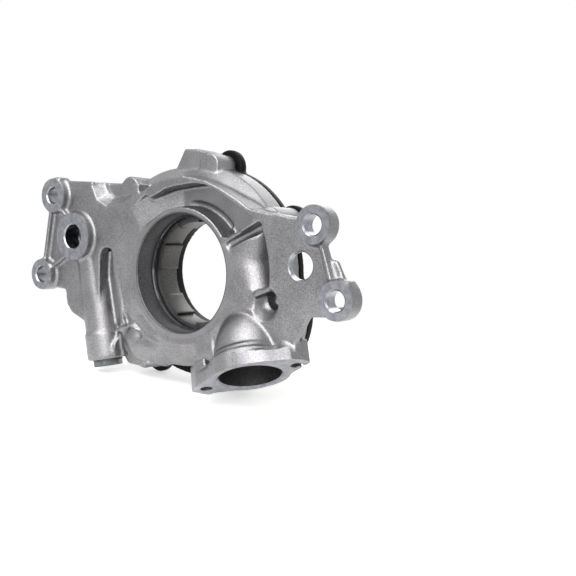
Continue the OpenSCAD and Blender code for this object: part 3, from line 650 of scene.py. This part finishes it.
def makeHousing():
    body = cadCopy("pump_housing", "housing_casting")
    parts = [body]
    cutters = []
    for normal, level in (((0, -1, 0), -faceLevel), ((0, 1, 0), bossBack)):
        parts.append(allowance(flatFaces(body, normal, level * mm), normal, housing["allowance"] * mm))
    for plugs, tools in (bossTools(), sideTools(), hubTools(), flangeTools(body)):
        parts += plugs
        cutters += tools
    casting = join(parts, "housing_casting")
    print("housing joined", len(casting.data.polygons))
    changes = [(join(carvedForms(), "carved"), "DIFFERENCE"), (join(addedForms(), "added"), "UNION"),
               (join(hollowForms(), "hollow"), "DIFFERENCE")]
    soften(casting, changes, housing)
    print("housing softened", len(casting.data.polygons))
    thin(casting, housing["triangles"])
    casting.data.materials.clear()
    casting.data.materials.append(castMaterial)
    cut(casting, cutters)
    print("housing cut", len(casting.data.polygons))
    shadeByAngle(casting, smoothAngle["housing"])
    finishPiece(casting, "pump_housing")


def makeCover():
    # The cover is a casting too, so its steps and ears have soft edges
    cover = cadCopy("cover_plate", "cover_casting")
    soften(cover, [], coverForm)
    thin(cover, coverForm["triangles"])
    cover.data.materials.clear()
    cover.data.materials.append(coverMaterial)
    shadeByAngle(cover, smoothAngle["cover"])
    finishPiece(cover, "cover_plate")
    print("cover made")


def makeEdged(nodeName, material, width):
    # A turned, pressed or headed piece, with the small bevel that catches the light on its edges
    piece = cadCopy(nodeName, nodeName + "_edged")
    bevel = piece.modifiers.new("bevel", "BEVEL")
    bevel.width = width * mm
    bevel.segments = bevelSegments
    bevel.angle_limit = math.radians(bevelAngle)
    bake(piece)
    piece.data.materials.append(material)
    shadeByAngle(piece, smoothAngle["edged"])
    finishPiece(piece, nodeName)


def makeSpring():
    # The relief spring's wire, shaded smooth and set on its body
    spring = cadCopy("relief_spring", "relief_spring_wire")
    spring.data.materials.append(springMaterial)
    shadeByAngle(spring, smoothAngle["spring"])
    finishPiece(spring, "relief_spring")
    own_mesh(spring)


makeHousing()
makeCover()
for number in range(1, 8):
    makeEdged("cover_bolt_" + str(number), boltMaterial, 0.2)
makeEdged("relief_plug", plugMaterial, 0.3)
makeEdged("plug_washer", washerMaterial, 0.1)
makeEdged("inner_rotor", rotorMaterial, 0.12)
makeEdged("outer_rotor", outerMaterial, 0.15)
makeEdged("relief_piston", pistonMaterial, 0.2)
makeSpring()
print("finishes set")


# Floor, light and camera

studio = {"floor": "#F4F4F2", "floorSize": 0.9, "floorRough": 0.9, "floorGlow": 0.5, "standOff": 0.0003,
          "shadowReach": 0.3, "shadowFade": 0.4, "world": 0.3}


def makeFloor():
    # Keeps the shadow near the pump and turns plain white farther out, so that it has no horizon
    low = cadBox[0].z - studio["standOff"]
    half = studio["floorSize"]
    corners = [(-half, -half, low), (half, -half, low), (half, half, low), (-half, half, low)]
    floor = meshObject("floor", corners, [(0, 1, 2, 3)])
    material, tree, bsdf = newMaterial("paleFloor", Base_Color=linearColour(studio["floor"]),
                                       Roughness=studio["floorRough"])
    place = addNode(tree, "ShaderNodeTexCoord").outputs["Object"]
    away = addNode(tree, "ShaderNodeVectorMath", links={0: place}, operation="LENGTH").outputs["Value"]
    reach = studio["shadowReach"]
    fade = addNode(tree, "ShaderNodeMapRange", {"From Min": reach * studio["shadowFade"], "From Max": reach},
                   {"Value": away}, interpolation_type="SMOOTHSTEP").outputs["Result"]
    ray = addNode(tree, "ShaderNodeLightPath").outputs
    seen = addNode(tree, "ShaderNodeMath", links={0: ray["Is Camera Ray"], 1: ray["Is Glossy Ray"]},
                   operation="MAXIMUM").outputs[0]
    bsdf.inputs["Emission Color"].default_value = (1, 1, 1, 1)
    glow = addNode(tree, "ShaderNodeMath", {1: studio["floorGlow"]}, {0: seen}, operation="MULTIPLY")
    tree.links.new(glow.outputs[0], bsdf.inputs["Emission Strength"])
    white = addNode(tree, "ShaderNodeEmission", {"Color": (1, 1, 1, 1), "Strength": 1.0})
    share = addNode(tree, "ShaderNodeMath", links={0: fade, 1: seen}, operation="MULTIPLY").outputs[0]
    mix = addNode(tree, "ShaderNodeMixShader", links={0: share, 1: bsdf.outputs[0], 2: white.outputs[0]})
    tree.links.new(mix.outputs[0], tree.nodes["Material Output"].inputs["Surface"])
    floor.data.materials.append(material)


def makeWorld():
    world = bpy.data.worlds.new("studio")
    bpy.context.scene.world = world
    world.use_nodes = True
    tree = world.node_tree
    tree.nodes.clear()
    ray = addNode(tree, "ShaderNodeLightPath").outputs
    seen = ray["Is Camera Ray"]
    for kind in ("Is Glossy Ray", "Is Transmission Ray"):
        seen = addNode(tree, "ShaderNodeMath", links={0: seen, 1: ray[kind]}, operation="MAXIMUM").outputs[0]
    strength = addNode(tree, "ShaderNodeMapRange", {"To Min": studio["world"], "To Max": 1.0},
                       {"Value": seen})
    background = addNode(tree, "ShaderNodeBackground", {"Color": (1, 1, 1, 1)},
                         {"Strength": strength.outputs["Result"]})
    addNode(tree, "ShaderNodeOutputWorld", links={"Surface": background.outputs["Background"]})


lamps = {
    "keyLamp": {"place": (0.42, -0.75, 0.42), "size": 0.7, "power": 8.0},
    "frontLamp": {"place": (-0.12, -0.55, 0.75), "size": 0.7, "power": 6.5},
    "topLamp": {"place": (0.05, -0.1, 0.9), "size": 0.6, "power": 2.5},
    "backLamp": {"place": (-0.2, 0.8, 0.4), "size": 0.6, "power": 2.5},
}


def makeLamps():
    for name, setting in lamps.items():
        data = bpy.data.lights.new(name, "AREA")
        data.size = setting["size"]
        data.energy = setting["power"]
        lamp = bpy.data.objects.new(name, data)
        lamp.location = setting["place"]
        lamp.rotation_euler = (-Vector(setting["place"])).to_track_quat("-Z", "Y").to_euler()
        bpy.context.scene.collection.objects.link(lamp)


# The photograph's view: from the right of the block side, a little above
cameraView = {"azimuth": 34.39, "elevation": 5.72, "distance": 326.7, "aim": (66.5, 0.0, -0.2), "roll": 3.66,
              "lens": 45.41}


def makeCamera():
    view = cameraView
    azimuth, elevation = math.radians(view["azimuth"]), math.radians(view["elevation"])
    back = Vector((math.sin(azimuth) * math.cos(elevation), -math.cos(azimuth) * math.cos(elevation),
                   math.sin(elevation)))
    data = bpy.data.cameras.new("camera")
    data.lens = view["lens"]
    data.clip_start = 0.01
    camera = bpy.data.objects.new("camera", data)
    camera.location = (Vector(view["aim"]) + back * view["distance"]) * mm
    roll = Matrix.Rotation(math.radians(view["roll"]), 3, "Z").to_quaternion()
    camera.rotation_mode = "QUATERNION"
    camera.rotation_quaternion = (-back).to_track_quat("-Z", "Y") @ roll
    bpy.context.scene.collection.objects.link(camera)
    bpy.context.scene.camera = camera


makeFloor()
makeWorld()
makeLamps()
makeCamera()
bpy.context.scene.view_settings.view_transform = "Standard"
print("studio made")
